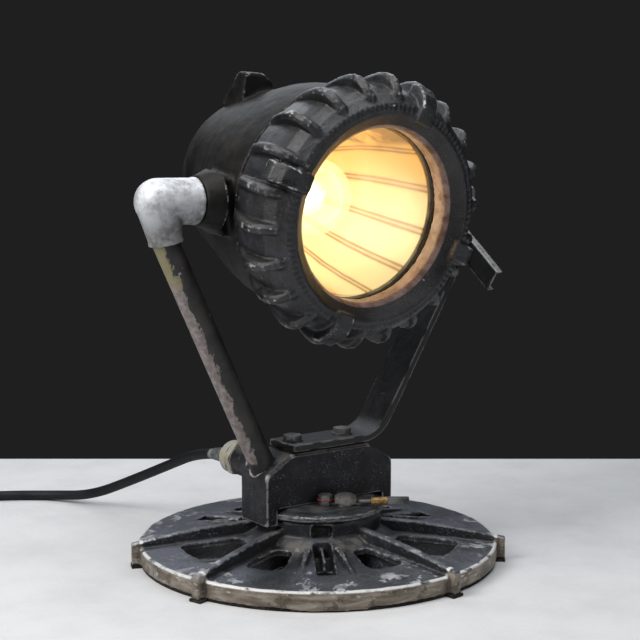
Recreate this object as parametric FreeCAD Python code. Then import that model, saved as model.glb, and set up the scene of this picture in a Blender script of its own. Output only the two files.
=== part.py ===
import FreeCAD, Part
import math
import os

from FreeCAD import Placement, Rotation, Vector

# Floodlight on a swivel base, in millimetres. +Z is up, the origin is the centre of the base on the
# floor, the lamp looks along -Y and its tilt axis is parallel to X.

# Driving dimensions: base
PLATE_RADIUS = 190.0
PLATE_TOP = 20.0        # height of the plate at its rim
PLATE_WALL = 7.0
PLATE_RISE = 0.074      # the plate climbs this much per millimetre towards the hub
SKIRT_BOTTOM = 3.0
HUB_RADIUS = 66.0
HUB_TOP = 52.0
FLARE_RADIUS = 82.0     # where the hub's foot meets the plate
RIB_REACH = 198.5
RIB_WIDTH = 10.0
RIB_END_TOP = 25.5
RIB_HUB_TOP = 43.0
WIDE_SECTORS = (-1.5, 118.5, 238.5)
NARROW_SECTORS = (58.5, 178.5, 298.5)
HALF_WIDE = 39.8        # half the angle between the ribs beside a wide sector

# Driving dimensions: swivel and junction box
SWIVEL_RADIUS = 71.0
SWIVEL_BOTTOM = 53.0
SWIVEL_TOP = 64.0
STUD_RADIUS = 9.95
BORE_RADIUS = 10.0
BOX_HALF_X = 81.0
BOX_HALF_Y = 25.3
BOX_BOTTOM = 47.0
BOX_SHOULDER = 100.0
BOX_TOP = 119.0
BOX_TOP_HALF = 49.0
BOX_WALL = 6.0
PAN_LOCK = Vector(2, -47, SWIVEL_TOP)
PAN_LOCK_ANGLE = -35.0  # where the clamp's lever points at rest

# Driving dimensions: yoke and head
TRUNNION_HEIGHT = 380.0
REST_TILT = 8.8         # degrees that the lamp looks down at rest
PIPE_RADIUS = 13.35
PIPE_BORE = 10.5
PIPE_FOOT = Vector(-69.7, 0, 107.0)
PIPE_MOUTH = Vector(-179.0, 0, 340.0)
ELBOW_RADIUS = 23.0     # at the housing; it tapers to the pipe
ELBOW_MOUTH = 16.2
ELBOW_CORNER = Vector(-187.0, 0, TRUNNION_HEIGHT)
ELBOW_BEND = 28.0       # of the passage inside it
BOSS_FACE = 127.0       # outer face of the housing's square side bosses
BOSS_REACH = 146.0      # the round trunnion hubs on them end here, left and right
ARM_WIDTH = 45.0
ARM_THICKNESS = 8.0
ARM_LEAN_START = Vector(65.8, 0, 124.0)
ARM_LEAN_END = Vector(170.0, 0, 295.0)
EAR_X = ARM_LEAN_END.x  # middle of the flat arm's upright ear
FIN_COUNT = 22
FIN_START = 85.8        # angle of the first fin, from +X towards up
LUG_START = 69.4
LIP_RADIUS = 88.8
GLASS_RADIUS = 91.0
BRACKET_SCREW = 44.0    # the bracket's screws stand this far left and right of the axis

# Driving dimensions: cord
CORD_DIAMETER = 11.5
CORD_RADIUS = CORD_DIAMETER / 2
GLAND = Vector(-64, 0, 103)     # the gland's axis, which runs along +Y
CORD_EXIT = Vector(-64, 104, 98.5)
COIL_CENTRE = Vector(-326, 412, 0)
COIL_RADIUS = 58.0      # mean radius of the winding, which is two turns wide and two high
COIL_ROUTE = (
    CORD_EXIT,
    Vector(-65, 140, 93),
    Vector(-71, 190, 72),
    Vector(-86, 252, 44),
    Vector(-108, 322, 13),
    Vector(-134, 376, 5.75),
    Vector(-184, 410, 5.75),
    Vector(-244, 436, 5.75),
    Vector(-292, 466, 5.75),
)
TAIL_ROUTE = (
    Vector(-389.75, 412, 17.25),
    Vector(-389, 376, 18),
    Vector(-381, 340, 19.5),
    Vector(-366, 306, 19.5),
)

X = Vector(1, 0, 0)
Y = Vector(0, 1, 0)
Z = Vector(0, 0, 1)
ORIGIN = Vector(0, 0, 0)
TRUNNION = Vector(0, 0, TRUNNION_HEIGHT)


def save(node, shape):
    """Writes one sub-part."""
    shape.exportStep(f"parts/{node}.step")
    print(f"{node:20s} {len(shape.Solids)} solids {shape.Volume / 1000:9.2f} cm3 {shape.isValid()}")


def polar(radius, degrees, z=0.0):
    """A point at this radius and angle about the vertical axis."""
    turn = math.radians(degrees)
    return Vector(radius * math.cos(turn), radius * math.sin(turn), z)


def prism(points, along):
    """A straight solid on a closed outline."""
    wire = Part.makePolygon(list(points) + [points[0]])
    return Part.Face(wire).extrude(along)


def turned(profile):
    """A solid of revolution about Z from (radius, height) points."""
    points = [Vector(r, 0, z) for r, z in profile]
    wire = Part.makePolygon(points + [points[0]])
    return Part.Face(wire).revolve(ORIGIN, Z, 360)


def rod(start, end, radius):
    """A round bar from start to end."""
    return Part.makeCylinder(radius, (end - start).Length, start, end - start)


def ring(outer, inner, low, high):
    """A flat ring about Z."""
    return turned([(inner, low), (outer, low), (outer, high), (inner, high)])


def block(low, high):
    """A box from its lowest to its highest corner."""
    size = high - low
    return Part.makeBox(size.x, size.y, size.z, low)


def fuse(shapes):
    """One clean solid out of several that touch."""
    return shapes[0].multiFuse(shapes[1:]).removeSplitter()


def around(shape, degrees, centre=ORIGIN, axis=Z):
    """A copy of the shape, turned about an axis."""
    copy = shape.copy()
    copy.rotate(centre, axis, degrees)
    return copy


def hexagon(across_flats, low, high, twist=0.0):
    """A hexagonal prism about Z."""
    corner = across_flats / math.sqrt(3)
    points = [polar(corner, twist + 60 * i, low) for i in range(6)]
    return prism(points, Vector(0, 0, high - low))


def moved(shape, offset):
    """A copy of the shape, shifted."""
    copy = shape.copy()
    copy.translate(offset)
    return copy


def aimed(shape, position, axis):
    """A copy whose Z axis points along axis, with its origin at position."""
    copy = shape.copy()
    copy.Placement = Placement(position, Rotation(Z, axis)).multiply(copy.Placement)
    return copy


def in_head(shape):
    """Stands a shape made about the lamp's own axis (Z forward) in its rest place on the trunnions."""
    copy = shape.copy()
    copy.Placement = Placement(TRUNNION, Rotation(X, 90 + REST_TILT)).multiply(copy.Placement)
    return copy


def rounded(shape, radius, keep):
    """Rounds the edges that keep() picks."""
    return shape.makeFillet(radius, [edge for edge in shape.Edges if keep(edge)])


# Base


def plate_height(radius):
    """Height of the plate's upper face."""
    return PLATE_TOP + (PLATE_RADIUS - radius) * PLATE_RISE


def window(outline):
    """A cutter through the plate with rounded corners."""
    cutter = Part.Face(Part.Wire(outline)).extrude(Vector(0, 0, 60))
    return rounded(cutter, 9, lambda edge: edge.BoundBox.ZLength > 59)


def sector_arc(radius, start, end):
    """An arc about the hub, from one angle to the other."""
    middle = (start + end) / 2
    return Part.Arc(polar(radius, start), polar(radius, middle), polar(radius, end)).toShape()


def beside_rib(radius, rib, gap):
    """The angle at which a point at this radius lies gap away from a rib's centre line."""
    return rib - math.degrees(math.asin(gap / radius))


def kidney_window():
    """The opening between a long rib at +40 degrees and the spread ribs of a wide sector."""
    inner, outer, gap = 85.0, 138.0, 10.0
    near = (20.6, 17.7)
    far = (beside_rib(inner, HALF_WIDE, gap), beside_rib(outer, HALF_WIDE, gap))
    side = Part.LineSegment(polar(inner, near[0]), polar(outer, near[1])).toShape()
    rib_side = Part.LineSegment(polar(outer, far[1]), polar(inner, far[0])).toShape()
    return window([side, sector_arc(outer, near[1], far[1]), rib_side, sector_arc(inner, far[0], near[0])])


def narrow_window():
    """The opening that fills a narrow sector, centred on +X."""
    inner, outer, gap = 88.0, 150.0, 10.0
    half = 60.0 - HALF_WIDE
    low, high = beside_rib(inner, half, gap), beside_rib(outer, half, gap)
    left = Part.LineSegment(polar(inner, -low), polar(outer, -high)).toShape()
    right = Part.LineSegment(polar(outer, high), polar(inner, low)).toShape()
    return window([left, sector_arc(outer, -high, high), right, sector_arc(inner, low, -low)])


def long_rib():
    """A deep radial rib along +X, highest at the hub, with its upright end past the rim."""
    middle = Vector(140, -RIB_WIDTH / 2, 36.0)
    top = Part.Arc(Vector(64, -RIB_WIDTH / 2, RIB_HUB_TOP), middle,
                   Vector(RIB_REACH, -RIB_WIDTH / 2, RIB_END_TOP)).toShape()
    corners = [(RIB_REACH, RIB_END_TOP), (RIB_REACH, SKIRT_BOTTOM), (60, SKIRT_BOTTOM), (60, RIB_HUB_TOP),
               (64, RIB_HUB_TOP)]
    points = [Vector(x, -RIB_WIDTH / 2, z) for x, z in corners]
    sides = [Part.LineSegment(a, b).toShape() for a, b in zip(points, points[1:])]
    rib = Part.Face(Part.Wire([top] + sides)).extrude(Vector(0, RIB_WIDTH, 0))
    return rounded(rib, 2.5, lambda edge: edge.BoundBox.ZMin > 24 and edge.BoundBox.XLength > 100)


def spread_rib(side):
    """A low tapering rib beside the trough, which leans away from it towards the rim."""
    inner, outer = 86.0, 148.0
    low = plate_height(outer) - 3
    points = [Vector(inner, side * 11, low), Vector(inner, side * 19, low),
              Vector(outer, side * 27, low), Vector(outer, side * 25.5, low)]
    rib = prism(points, Vector(0, 0, 40))
    slope = [Vector(inner - 1, -40, 0), Vector(outer + 1, -40, 0),
             Vector(outer + 1, -40, plate_height(outer) + 0.4), Vector(inner - 1, -40, 34)]
    return rib.common(prism(slope, Vector(0, 80, 0)))


def trough():
    """The deepened pocket in the middle of a wide sector, along +X."""
    return block(Vector(64, -13, 8), Vector(151, 13, plate_height(151)))


def trough_cutters():
    """The channel down the middle, its drain slot and the square notch in the hub's wall."""
    channel = block(Vector(71, -9, 15), Vector(145, 9, 60))
    spine = block(Vector(60, -1.6, 10), Vector(113, 1.6, 27))
    slot = block(Vector(112, -8.5, 0), Vector(144, 8.5, 60))
    notch = block(Vector(57.5, -10, 36), Vector(80, 10, 48.5))
    return fuse([channel.cut(spine), slot]).fuse(notch)


def foot(centre):
    """A shallow pad under the skirt in the middle of a wide sector."""
    pad = ring(PLATE_RADIUS, 181, 1.0, SKIRT_BOTTOM + 1)
    wedge = prism([ORIGIN, polar(260, -11), polar(260, 11)], Vector(0, 0, 20))
    return around(pad.common(wedge), centre)


def base_casting():
    """One iron casting: dished plate with a skirt, hub, six long ribs and nine openings."""
    plate = turned([(PLATE_RADIUS, SKIRT_BOTTOM), (PLATE_RADIUS, PLATE_TOP - 1.5),
                    (PLATE_RADIUS - 1.5, PLATE_TOP), (FLARE_RADIUS, plate_height(FLARE_RADIUS)),
                    (60, plate_height(60)), (60, plate_height(60) - PLATE_WALL),
                    (PLATE_RADIUS - 8, PLATE_TOP - PLATE_WALL), (PLATE_RADIUS - 7, SKIRT_BOTTOM)])
    hub = turned([(BORE_RADIUS, 24), (24, 24), (26, 44), (56, 44), (58, 14), (70, 14),
                  (FLARE_RADIUS, plate_height(FLARE_RADIUS) - 1), (HUB_RADIUS, 36),
                  (HUB_RADIUS, HUB_TOP - 2), (HUB_RADIUS - 2, HUB_TOP), (BORE_RADIUS, HUB_TOP)])
    ribs = [around(long_rib(), sector + side * HALF_WIDE) for sector in WIDE_SECTORS for side in (-1, 1)]
    spread = [around(spread_rib(side), sector) for sector in WIDE_SECTORS for side in (-1, 1)]
    troughs = [around(trough(), sector) for sector in WIDE_SECTORS]
    feet = [foot(sector) for sector in WIDE_SECTORS]
    casting = fuse([plate, hub] + troughs + spread + ribs + feet)
    mirror = kidney_window().mirror(ORIGIN, Y)
    cutters = [around(cutter, sector) for sector in WIDE_SECTORS
               for cutter in (kidney_window(), mirror, trough_cutters())]
    cutters += [around(narrow_window(), sector) for sector in NARROW_SECTORS]
    return casting.cut(cutters).removeSplitter()


def base_pad():
    """A thin rubber ring under the skirt, with an ear below each rib's end."""
    pad = ring(PLATE_RADIUS - 2, PLATE_RADIUS - 12, 0, SKIRT_BOTTOM - 0.05)
    ears = [around(block(Vector(180, -7, 0), Vector(RIB_REACH, 7, SKIRT_BOTTOM - 0.05)), sector + side * HALF_WIDE)
            for sector in WIDE_SECTORS for side in (-1, 1)]
    return fuse([pad] + ears).cut([foot(sector) for sector in WIDE_SECTORS])


def thrust_washer():
    """The bronze washer that the swivel turns on."""
    return ring(56, 12, HUB_TOP, HUB_TOP + 0.7)


# Swivel and junction box


def swivel_flange():
    """The round turning plate under the box, with a stepped and bevelled edge."""
    return turned([(BORE_RADIUS, SWIVEL_BOTTOM), (SWIVEL_RADIUS - 1, SWIVEL_BOTTOM),
                   (SWIVEL_RADIUS, SWIVEL_BOTTOM + 1), (SWIVEL_RADIUS, 58.5), (66.5, 61.5), (62, 62),
                   (60.5, SWIVEL_TOP), (BORE_RADIUS, SWIVEL_TOP)])


def swivel_stud():
    """The headed stud that the box turns on, headed inside the box."""
    return fuse([rod(Vector(0, 0, 4), Vector(0, 0, 71), STUD_RADIUS), hexagon(30, 70, 82)])


def swivel_washer():
    """The plain washer under the hub's boss."""
    return ring(20, BORE_RADIUS + 0.3, 21, 23.7)


def swivel_nut():
    """The lock nut under the hub."""
    return hexagon(30, 6, 20.8).cut(rod(ORIGIN, Vector(0, 0, 40), STUD_RADIUS))


def box_outline(inset, top, bottom):
    """The box's side view: upright ends, sloping shoulders and a flat crown."""
    slope = (BOX_TOP - BOX_SHOULDER) / (BOX_HALF_X - BOX_TOP_HALF)
    end = BOX_HALF_X - inset
    shoulder = BOX_SHOULDER - inset * 0.5
    crown = end - (top - shoulder) / slope
    return [(-end, bottom), (-end, shoulder), (-crown, top), (crown, top), (end, shoulder), (end, bottom)]


def junction_box():
    """The hollow cast box astride the swivel plate, with a cord boss at the back."""
    points = [Vector(x, -BOX_HALF_Y, z) for x, z in box_outline(0, BOX_TOP, BOX_BOTTOM)]
    outer = prism(points, Vector(0, 2 * BOX_HALF_Y, 0))
    outer = rounded(outer, 3.0, lambda e: abs(abs(e.CenterOfMass.x) - BOX_HALF_X) < 0.1
                    and e.BoundBox.ZLength > 40)
    outer = outer.makeChamfer(2.5, [e for e in outer.Edges if e.BoundBox.YLength < 0.1
                                    and abs(abs(e.CenterOfMass.y) - BOX_HALF_Y) < 0.1
                                    and e.CenterOfMass.z > BOX_SHOULDER])
    inside = [Vector(x, BOX_WALL - BOX_HALF_Y, z)
              for x, z in box_outline(BOX_WALL, BOX_TOP - 7, SWIVEL_TOP + BOX_WALL)]
    cavity = prism(inside, Vector(0, 2 * (BOX_HALF_Y - BOX_WALL), 0))
    down = (PIPE_FOOT - PIPE_MOUTH).normalize()
    pipe_boss = rod(PIPE_FOOT - down * 1.5, PIPE_FOOT + down * 15, 19)
    gland_boss = rod(Vector(GLAND.x, BOX_HALF_Y - 12, GLAND.z), Vector(GLAND.x, 48, GLAND.z), 17)
    body = fuse([outer.cut(cavity), pipe_boss.common(outer), gland_boss])
    cutters = [rod(Vector(0, 0, 40), Vector(0, 0, SWIVEL_TOP), SWIVEL_RADIUS + 0.3),
               rod(Vector(0, 0, 40), Vector(0, 0, 80), BORE_RADIUS),
               block(Vector(-20, -16, 100), Vector(20, 16, 130)),
               rod(PIPE_FOOT - down * 30, PIPE_FOOT + down * 8, PIPE_RADIUS + 0.05),
               rod(PIPE_FOOT - down, PIPE_FOOT + down * 20, PIPE_BORE),
               rod(Vector(GLAND.x, 36, GLAND.z), Vector(GLAND.x, 60, GLAND.z), 11.05),
               rod(Vector(GLAND.x, 8, GLAND.z), Vector(GLAND.x, 60, GLAND.z), 7)]
    cutters += [rod(Vector(side * 32, 0, 105), Vector(side * 32, 0, 130), 5.05) for side in (-1, 1)]
    cutters += [rod(point, point + Z * 20, 3.05) for point in flange_screw_places(60)]
    return body.cut(cutters).removeSplitter()


def flange_screw_places(z):
    """The four screws that hold the box to the swivel plate."""
    return [Vector(x, y, z) for x in (-48, 48) for y in (-12, 12)]


def flange_screws():
    """Four cheese-head screws, driven from inside the box."""
    screws = [fuse([rod(p, p + Z * 10.5, 3), rod(p + Z * 10, p + Z * 14, 5)]) for p in flange_screw_places(60)]
    return Part.makeCompound(screws)


def swivel_flange_drilled():
    """The swivel plate with its four tapped holes."""
    holes = [rod(point, point + Z * 10, 3) for point in flange_screw_places(60)]
    holes.append(rod(PAN_LOCK - Z * 15, PAN_LOCK + Z * 5, 5.55))
    return swivel_flange().cut(holes)


def terminal_block():
    """The small insulating strip that joins the cord to the lamp wires."""
    strip = block(Vector(18, -9, 70.2), Vector(44, 9, 84))
    ways = [rod(Vector(10, y, 77), Vector(50, y, 77), 1.9) for y in (-4.5, 4.5)]
    screws = [rod(Vector(x, y, 79.5), Vector(x, y, 90), 1.6) for x in (24, 38) for y in (-4.5, 4.5)]
    return strip.cut(ways + screws)


def terminal_screws():
    """The clamping screws of the terminal strip."""
    places = [(x, y) for x in (24, 38) for y in (-4.5, 4.5)]
    return Part.makeCompound([rod(Vector(x, y, 79.6), Vector(x, y, 83.2), 1.5) for x, y in places])


def box_gasket():
    """The thin seal under the flat arm's foot."""
    sheet = block(Vector(-BOX_TOP_HALF + 3, -20, BOX_TOP), Vector(BOX_TOP_HALF - 3, 20, BOX_TOP + 1))
    bolts = [rod(Vector(side * 32, 0, 110), Vector(side * 32, 0, 130), 5.5) for side in (-1, 1)]
    return sheet.cut(bolts + [block(Vector(-20, -16, 110), Vector(20, 16, 130))])


# Yoke: a bolted flat arm on the right, a conduit arm on the left


def bent_strip(points, radius, thickness, width):
    """A flat bar bent in the XZ plane along a line of points, with round bends."""
    wire = filleted_path(points, radius)
    tangent = (points[1] - points[0]).normalize()
    across = tangent.cross(Y).normalize() * (thickness / 2)
    half = Y * (width / 2)
    start = points[0]
    corners = [start + across + half, start + across - half, start - across - half, start - across + half]
    outline = Part.makePolygon(corners + [corners[0]])
    return wire.makePipeShell([outline], True, False)


def filleted_path(points, radius):
    """Straight runs through the points, joined by tangent arcs of one radius or a list of them."""
    radii = radius if isinstance(radius, list) else [radius] * (len(points) - 2)
    edges = []
    here = points[0]
    for before, corner, after, bend in zip(points, points[1:], points[2:], radii):
        into = (corner - before).normalize()
        out = (after - corner).normalize()
        turn = math.acos(max(-1.0, min(1.0, into.dot(out))))
        reach = bend * math.tan(turn / 2)
        arc_start = corner - into * reach
        arc_end = corner + out * reach
        inward = (out - into).normalize()
        centre = corner + inward * (bend / math.cos(turn / 2))
        edges.append(Part.LineSegment(here, arc_start).toShape())
        edges.append(Part.Arc(arc_start, centre - inward * bend, arc_end).toShape())
        here = arc_end
    edges.append(Part.LineSegment(here, points[-1]).toShape())
    return Part.Wire(edges)


def arm_bar():
    """The flat steel arm: bolted foot, leaning reach and upright ear with a rounded end."""
    line = [Vector(-46, 0, ARM_LEAN_START.z), ARM_LEAN_START, ARM_LEAN_END, Vector(EAR_X, 0, TRUNNION_HEIGHT)]
    strip = bent_strip(line, 40, ARM_THICKNESS, ARM_WIDTH)
    inner, outer = EAR_X - ARM_THICKNESS / 2, EAR_X + ARM_THICKNESS / 2
    end = rod(Vector(inner, 0, TRUNNION_HEIGHT), Vector(outer, 0, TRUNNION_HEIGHT), ARM_WIDTH / 2)
    holes = [rod(Vector(inner - 5, 0, TRUNNION_HEIGHT), Vector(outer + 5, 0, TRUNNION_HEIGHT), 8.05)]
    holes += [rod(Vector(side * 32, 0, 110), Vector(side * 32, 0, 140), 5.5) for side in (-1, 1)]
    return fuse([strip, end]).cut(holes)


def arm_bolts():
    """The two hex bolts that hold the flat arm's foot to the box."""
    low, seat = 107.0, BOX_TOP + 1 + ARM_THICKNESS + 1.2
    bolt = fuse([rod(Vector(0, 0, low), Vector(0, 0, seat + 1), 5), hexagon(17, seat, seat + 5, 12)])
    return Part.makeCompound([moved(bolt, Vector(side * 32, 0, 0)) for side in (-1, 1)])


def arm_washers():
    """The washers under those bolts."""
    seat = BOX_TOP + 1 + ARM_THICKNESS
    washer = ring(11, 5.2, seat, seat + 1.2)
    return Part.makeCompound([moved(washer, Vector(side * 32, 0, 0)) for side in (-1, 1)])


def conduit_arm():
    """The threaded pipe that is both the left arm and the wires' way up."""
    up = (PIPE_MOUTH - PIPE_FOOT).normalize()
    start, end = PIPE_FOOT - up * 8, PIPE_MOUTH + up * 9
    return rod(start, end, PIPE_RADIUS).cut(rod(start - up, end + up, PIPE_BORE))


def elbow_path(extra):
    """The line of the elbow's passage: level from the housing, then round to the pipe's direction."""
    down = (PIPE_FOOT - PIPE_MOUTH).normalize()
    outward = Y.cross(down).normalize()
    bend_start = Vector(PIPE_MOUTH.x + ELBOW_BEND * -outward.x, 0, TRUNNION_HEIGHT)
    centre = bend_start - Z * ELBOW_BEND
    middle = centre + (outward + Z).normalize() * ELBOW_BEND
    bend_end = centre + outward * ELBOW_BEND
    level = Part.LineSegment(Vector(-BOSS_REACH - 0.4 + extra, 0, TRUNNION_HEIGHT), bend_start).toShape()
    arc = Part.Arc(bend_start, middle, bend_end).toShape()
    drop = Part.LineSegment(bend_end, bend_end + down * (1 + extra)).toShape()
    return Part.Wire([level, arc, drop]), bend_end + down, down


def pipe_along(wire, radius):
    """A round solid swept along a wire."""
    edge = wire.Edges[0]
    at = edge.ParameterRange[0]
    circle = Part.Wire([Part.Circle(edge.valueAt(at), edge.tangentAt(at), radius).toShape()])
    return wire.makePipeShell([circle], True, False)


def conduit_elbow():
    """The cast elbow: a level limb, a ball-shaped corner and a limb that tapers to the pipe, each with a bead."""
    _, mouth, down = elbow_path(0)
    level_end = Vector(-BOSS_REACH - 0.4, 0, TRUNNION_HEIGHT)
    lower = mouth - ELBOW_CORNER
    limbs = [rod(level_end, ELBOW_CORNER, ELBOW_RADIUS),
             Part.makeSphere(ELBOW_RADIUS + 0.2, ELBOW_CORNER),
             Part.makeCone(ELBOW_RADIUS - 0.3, ELBOW_MOUTH, lower.Length, ELBOW_CORNER, lower)]
    beads = [rod(mouth - lower.normalize() * 3, mouth, ELBOW_MOUTH + 1.2),
             rod(level_end - X * 3, level_end, ELBOW_RADIUS + 0.7)]
    body = fuse(limbs + beads)
    sockets = [rod(mouth - down * 11, mouth + down * 5, PIPE_RADIUS + 0.05),
               rod(level_end - X * 11, level_end + X * 5, PIPE_RADIUS + 0.05)]
    return body.cut([pipe_along(elbow_path(1.5)[0], PIPE_BORE - 0.5)] + sockets)


def trunnion_nipple():
    """The hollow nipple in the elbow that the housing turns on and the wires pass through."""
    left, right = Vector(-BOSS_REACH - 10, 0, TRUNNION_HEIGHT), Vector(-98, 0, TRUNNION_HEIGHT)
    return rod(left, right, PIPE_RADIUS).cut(rod(left - X, right + X, PIPE_BORE - 1))


def arm_wires():
    """Two insulated wires up the conduit, stopped short of the elbow."""
    up = (PIPE_MOUTH - PIPE_FOOT).normalize()
    side = up.cross(Y).normalize() * 2.3
    foot_end, top_end = PIPE_FOOT - up * 6, PIPE_MOUTH
    return Part.makeCompound([rod(foot_end + offset, top_end + offset, 2) for offset in (side, side * -1)])


# Cord entry


def along_y(shape, y):
    """Lays a shape made about Z along the gland's axis, with its foot at y."""
    return aimed(shape, Vector(GLAND.x, y, GLAND.z), Y)


def gland_body():
    """The threaded body of the cord gland."""
    body = fuse([ring(11, 7, -12, 1), hexagon(33, 0, 8, 10).cut(rod(Vector(0, 0, -5), Z * 20, 7))])
    return along_y(body, 48.05)


def gland_nut():
    """The castellated clamping nut of the cord gland."""
    shell = turned([(8.2, 0), (17.5, 0), (17.5, 10), (15, 15), (12.5, 16), (11.2, 16), (11.2, 8), (8.2, 8)])
    notch = block(Vector(11, -1.8, 10.5), Vector(20, 1.8, 20))
    nut = shell.cut([around(notch, 45 * i) for i in range(8)])
    return along_y(nut, 56.1)


def cord_relief():
    """The tapering rubber sleeve that the cord leaves through."""
    foot_end = Vector(GLAND.x, 64.3, GLAND.z)
    collar = rod(foot_end, foot_end + Y * 9, 10.6)
    axis = (CORD_EXIT - (foot_end + Y * 8)).normalize()
    start = foot_end + Y * 8
    cone = Part.makeCone(9.8, CORD_RADIUS + 0.7, (CORD_EXIT - start).Length, start, axis)
    return fuse([collar, cone])


# Pan lock on the swivel plate


def pan_lock_bolt():
    """The hex bolt that clamps the swivel."""
    head = hexagon(22, 3.1, 12, -5).common(Part.makeSphere(21, Vector(0, 0, -8.2)))
    return moved(fuse([rod(Z * -9.5, Z * 4, 5.5), head]), PAN_LOCK)


def pan_lock_lever():
    """The clamp's forged lever: an eye under the bolt head, a square heel and a long round arm."""
    eye = rod(Z * 0.1, Z * 3.0, 9.5)
    heel = moved(hexagon(13, 0.2, 11), Vector(-20.5, 0, 0))
    link = block(Vector(-18, -4, 0.2), Vector(16, 4, 3))
    arm = rod(Vector(13.5, 0, 2.9), Vector(52, 0, 4.5), 2.6)
    blade = block(Vector(44, -4.5, 1.6), Vector(66, 4.5, 7.6))
    lever = fuse([eye, link, heel, arm, blade]).cut(rod(ORIGIN, Z * 20, 5.6))
    return moved(around(lever, PAN_LOCK_ANGLE), PAN_LOCK)


def pan_lock_sleeve():
    """The brass sleeve on the lever's arm."""
    sleeve = rod(Vector(27, 0, 3.5), Vector(43.5, 0, 4.1), 4.2)
    bore = rod(Vector(13.5, 0, 2.9), Vector(52, 0, 4.5), 2.65)
    return moved(around(sleeve.cut(bore), PAN_LOCK_ANGLE), PAN_LOCK)


def lock_wire():
    """The thin seal wire round the heel of the clamp."""
    loop = Part.makeTorus(8.2, 0.6, Vector(-20.5, 0, 6), Z)
    return moved(around(loop, PAN_LOCK_ANGLE), PAN_LOCK)


# Head: made about the lamp's own axis, Z forward from the trunnion line, X along the trunnions


def housing():
    """The cast lamp body: round tapering shell, trunnion bosses, top lug and a threaded front."""
    outer = turned([(0, -152), (68, -152), (72, -150), (81, -143), (86, -131), (90, -120), (100.5, -80),
                    (109.5, -50), (114.5, -30), (117, -15), (118.5, 5), (118.5, 29), (117.5, 30),
                    (110, 30.5), (110, 60), (0, 60)])
    inner = turned([(0, -145.5), (66, -145.5), (75, -140), (79.5, -129), (83.5, -118), (94, -78),
                    (103, -48), (108, -28), (110.5, -13), (111, 5), (103.5, 26), (103.5, 61), (0, 61)])
    left, right = trunnion_boss(), trunnion_boss().mirror(ORIGIN, X)
    shell = fuse([outer, left, right, top_lug()]).cut(inner)
    bores = [rod(Vector(-BOSS_REACH - 5, 0, 0), Vector(-80, 0, 0), PIPE_RADIUS + 0.05),
             rod(Vector(104, 0, 0), Vector(BOSS_REACH + 5, 0, 0), 8.05)]
    bores += [moved(rod(Z * -149.5, Z * -140, 2.5), X * side * BRACKET_SCREW) for side in (-1, 1)]
    return shell.cut(bores).removeSplitter()


def trunnion_boss():
    """The square boss on the left of the housing with the tapering hub that the nipple enters."""
    square = block(Vector(-BOSS_FACE, -33, -30), Vector(-80, 26, 20))
    square = rounded(square, 4, lambda edge: edge.CenterOfMass.x < -90)
    hub = Part.makeCone(34, 24.5, BOSS_REACH - BOSS_FACE + 1, Vector(1 - BOSS_FACE, 0, 0), X * -1)
    flat_top = block(Vector(-160, -50, -50), Vector(-70, 30, 50))
    return fuse([square, hub.common(flat_top)])


def top_lug():
    """The squared lug on top of the housing, left of centre and behind the trunnion line."""
    front = [Vector(-50, 80, -80), Vector(-48, 118, -80), Vector(-25, 118, -80), Vector(-12, 107, -80),
             Vector(-12, 80, -80)]
    side = [Vector(-60, 70, -79), Vector(-60, 130, -79), Vector(-60, 130, -85), Vector(-60, 111, -101),
            Vector(-60, 103, -106), Vector(-60, 86, -120), Vector(-60, 70, -120)]
    lug = prism(front, Z * -50).common(prism(side, X * 60))
    return rounded(lug, 1.5, lambda edge: edge.CenterOfMass.y > 100)


def ring_fin():
    """One bevelled fin of the cover ring, at angle zero."""
    crest = [(114.5, 111), (122, 109), (128.5, 105), (134, 99), (137.8, 91), (139, 82), (137.5, 71), (133, 57),
             (127.5, 44), (123, 34)]
    points = [Vector(r, -5.5, s) for r, s in crest] + [Vector(113, -5.5, 34)]
    web = prism(points, Y * 11)
    return web.makeChamfer(3.2, [edge for edge in web.Edges if edge.BoundBox.YLength < 0.1
                                 and edge.CenterOfMass.x > 114.6 and edge.CenterOfMass.z > 34.5])


def ring_lug():
    """One squared wrench lug across the front band, at angle zero."""
    outline = [Vector(98, -10, 108), Vector(98, -10, 119), Vector(116, -10, 119), Vector(127, -10, 112),
               Vector(135, -10, 100), Vector(135, -10, 88), Vector(118, -10, 88)]
    lug = prism(outline, Vector(0, 20, 0))
    return rounded(lug, 2.2, lambda edge: edge.BoundBox.ZMax > 111.9 and edge.CenterOfMass.x > 99)


def band_rib():
    """One short raised bar of the gripping pattern on the front band, at angle zero."""
    return block(Vector(106.9, -1.1, 110), Vector(111.6, 1.1, 114.6))


def cover_ring():
    """The finned ring that screws on and holds the glass."""
    body = turned([(110.6, 31), (117.5, 31), (118.5, 32), (120.5, 40), (124.5, 60), (126, 78), (125, 92), (120.5, 104),
                   (114, 111), (112.5, 113), (106, 113.4), (104.5, 115.4), (102, 115), (90.5, 105),
                   (LIP_RADIUS, 103.3), (86.5, 100), (86.5, 83.5), (92, 83.5), (92, 66), (110.6, 66)])
    fins = [around(ring_fin(), FIN_START + 360 / FIN_COUNT * i) for i in range(FIN_COUNT)]
    lugs = [around(ring_lug(), LUG_START + 90 * i) for i in range(4)]
    bars = [around(band_rib(), LUG_START + 90 * i + step)
            for i in range(4) for step in range(9, 82, 3)]
    core = turned([(0, 20), (110.6, 20), (110.6, 66), (92, 66), (92, 83.5), (86.5, 83.5), (86.5, 100),
                   (LIP_RADIUS, 103.3), (90.5, 105), (98, 111.6), (98, 130), (0, 130)])
    return fuse([body] + fins + lugs + bars).cut(core).removeSplitter()


def lens_glass():
    """The thick flat front glass."""
    return turned([(0, 75), (GLASS_RADIUS, 75), (GLASS_RADIUS, 81.5), (GLASS_RADIUS - 1, 82.4), (0, 82.4)])


def lens_gasket():
    """The soft ring in front of the glass."""
    return ring(GLASS_RADIUS, 86.6, 82.45, 83.45)


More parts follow.
